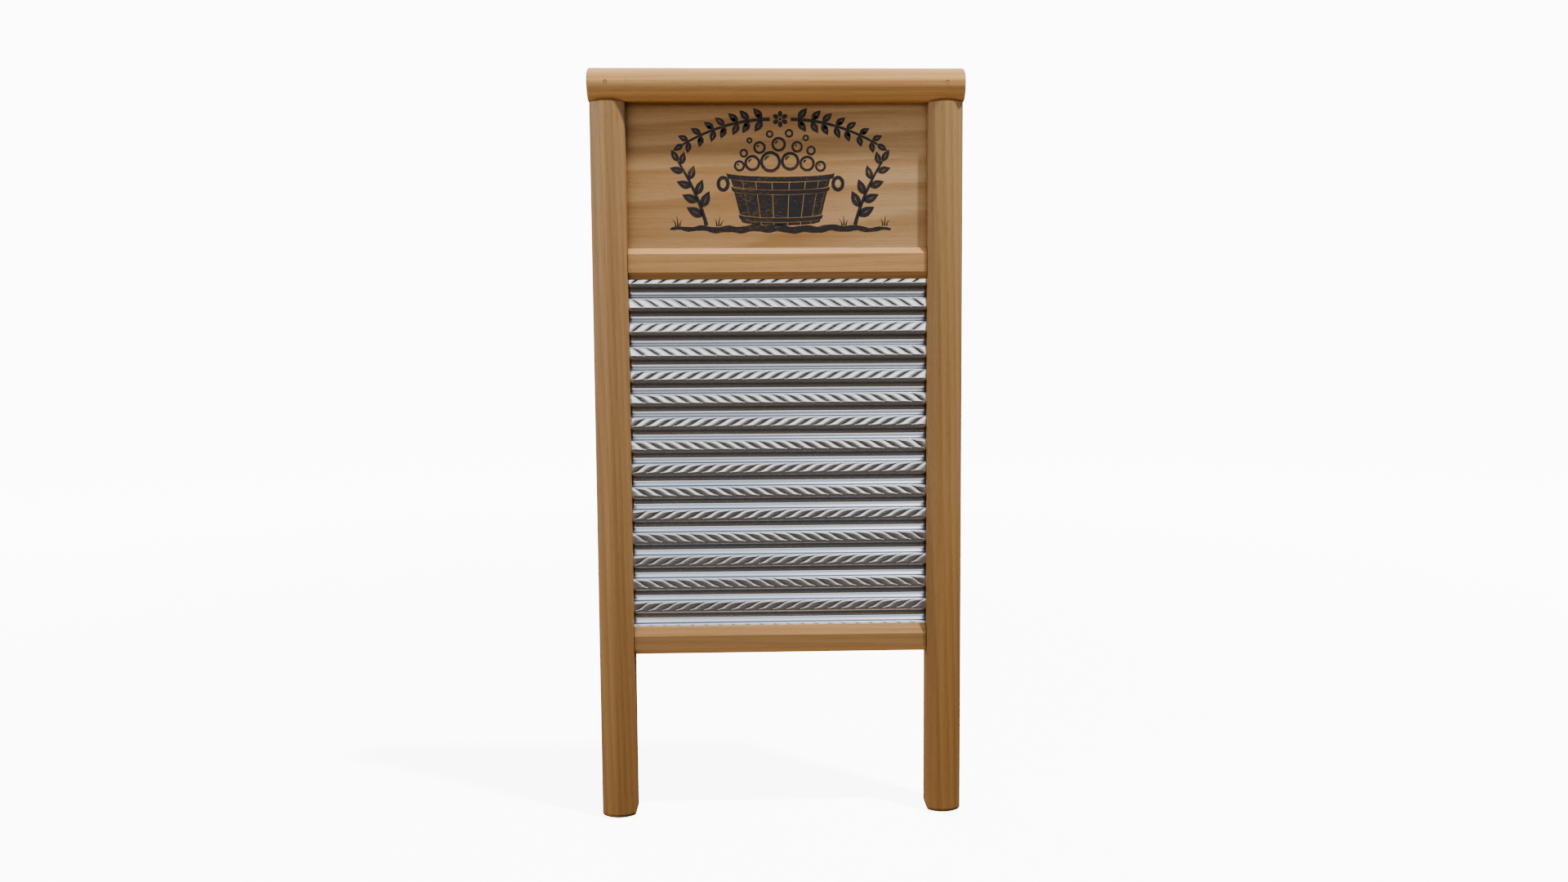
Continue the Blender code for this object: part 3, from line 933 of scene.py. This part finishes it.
SKY_FRONT = 0.55  # strength of the soft sky in front of the board and behind it
SKY_SIDES = 1.1  # what is added towards both sides
SKY_LEAN = 0.85  # what the left side has over the front, and the right side lacks

KEY_DIRECTION = (0.316, -0.195, 0.929)
KEY_TARGET = (0, 0, 0.42)
KEY_DISTANCE = 2.6
KEY_SIZE = 0.13
KEY_POWER = 115
KEY_COLOUR = (1.0, 0.98, 0.95)
KEY_REFLECTION = (2.6, 2.8, 3.0)  # a soft patch in the mirrored sky in place of the lamp itself
KEY_PATCH = (0.93, 0.995)  # cosines to the key's direction at the patch's edge and core

CAMERA_PLACE = (-0.0150, -0.7569, 0.3582)
CAMERA_PITCH = -0.062
CAMERA_YAW = 0.025
CAMERA_ROLL = -0.007
CAMERA_LENS = 21.196875
CAMERA_CLIP_START = 0.01


def studio_floor():
    """A round pale floor that brightens to the backdrop's white away from the board."""
    turns = [2 * math.pi * side / FLOOR_SIDES for side in range(FLOOR_SIDES)]
    points = [(FLOOR_RADIUS * math.cos(turn), FLOOR_RADIUS * math.sin(turn), 0) for turn in turns]
    material, graph, shader = new_material("studio_floor")
    place = graph.coordinates()
    grain = graph.noise(place, 40.0, 2.0)
    colour = graph.ramp(grain, ((0.3, (0.86, 0.86, 0.855)), (0.7, (0.90, 0.90, 0.895))))
    graph.feed(shader.inputs["Base Color"], colour)
    shader.inputs["Roughness"].default_value = 0.9
    shader.inputs["Specular IOR Level"].default_value = 0.1
    shader.inputs["Emission Color"].default_value = (1, 1, 1, 1)
    glow = graph.remap(graph.measure("LENGTH", place), FLOOR_NEAR, FLOOR_FAR)
    strength = graph.math("ADD", FLOOR_STRENGTH, graph.math("MULTIPLY", glow, FLOOR_GAIN))
    graph.feed(shader.inputs["Emission Strength"], strength)
    floor = add_piece("studio_floor", points, [tuple(range(FLOOR_SIDES))], material)
    floor.visible_glossy = False
    floor.visible_diffuse = False


def studio_world():
    """White to the camera, banded to polished metal, and soft from the left to everything else."""
    world = bpy.data.worlds.new("studio")
    bpy.context.scene.world = world
    world.use_nodes = True
    world.cycles.sampling_method = "NONE"
    graph = Graph(world.node_tree)
    direction = graph.coordinates("Generated")
    across, _, level = graph.parts(direction)
    share = graph.remap(level, -1.0, 1.0, smooth=False)
    patch = graph.remap(graph.measure("DOT_PRODUCT", direction, KEY_DIRECTION), *KEY_PATCH)
    mirrored = graph.mix(patch, graph.ramp(share, MIRRORED_SKY), KEY_REFLECTION)
    sides = graph.math("MULTIPLY_ADD", graph.math("MULTIPLY", across, across), SKY_SIDES, SKY_FRONT)
    sides = graph.math("SUBTRACT", sides, graph.math("MULTIPLY", across, SKY_LEAN))
    sides = graph.joined(sides, sides, sides)
    soft = graph.mix(1.0, graph.ramp(share, SOFT_SKY), sides, "MULTIPLY")
    rays = graph.node("ShaderNodeLightPath").outputs
    lit = graph.mix(rays["Is Glossy Ray"], soft, mirrored)
    dim = graph.node("ShaderNodeBackground", {"Color": lit, "Strength": 1.0}).outputs[0]
    white = {"Color": (1, 1, 1, 1), "Strength": BACKDROP_STRENGTH}
    white = graph.node("ShaderNodeBackground", white).outputs[0]
    both = graph.node("ShaderNodeMixShader", {0: rays["Is Camera Ray"], 1: dim, 2: white})
    out = graph.node("ShaderNodeOutputWorld")
    graph.tree.links.new(both.outputs[0], out.inputs["Surface"])


def key_light():
    toward = Vector(KEY_DIRECTION).normalized()
    data = bpy.data.lights.new("key", "AREA")
    data.shape = "DISK"
    data.size = KEY_SIZE
    data.energy = KEY_POWER
    data.color = KEY_COLOUR
    lamp = bpy.data.objects.new("key", data)
    lamp.visible_glossy = False
    lamp.location = Vector(KEY_TARGET) + toward * KEY_DISTANCE
    lamp.rotation_euler = toward.to_track_quat("Z", "Y").to_euler()
    bpy.context.scene.collection.objects.link(lamp)


def camera():
    """Close to the board and a little above its middle, turned slightly to the right and down."""
    level_reach = math.cos(CAMERA_PITCH)
    ahead = Vector(
        (math.sin(CAMERA_YAW) * level_reach, math.cos(CAMERA_YAW) * level_reach, math.sin(CAMERA_PITCH))
    )
    right = Vector((math.cos(CAMERA_YAW), -math.sin(CAMERA_YAW), 0))
    up = right.cross(ahead)
    rolled_right = right * math.cos(CAMERA_ROLL) + up * math.sin(CAMERA_ROLL)
    rolled_up = up * math.cos(CAMERA_ROLL) - right * math.sin(CAMERA_ROLL)
    data = bpy.data.cameras.new("camera")
    data.lens = CAMERA_LENS
    data.clip_start = CAMERA_CLIP_START
    eye = bpy.data.objects.new("camera", data)
    axes = Matrix((rolled_right, rolled_up, -ahead)).transposed().to_4x4()
    eye.matrix_world = Matrix.Translation(CAMERA_PLACE) @ axes
    bpy.context.scene.collection.objects.link(eye)
    bpy.context.scene.camera = eye


studio_floor()
studio_world()
key_light()
camera()
bpy.context.scene.view_settings.view_transform = "AgX"
bpy.context.scene.view_settings.look = "AgX - Medium High Contrast"
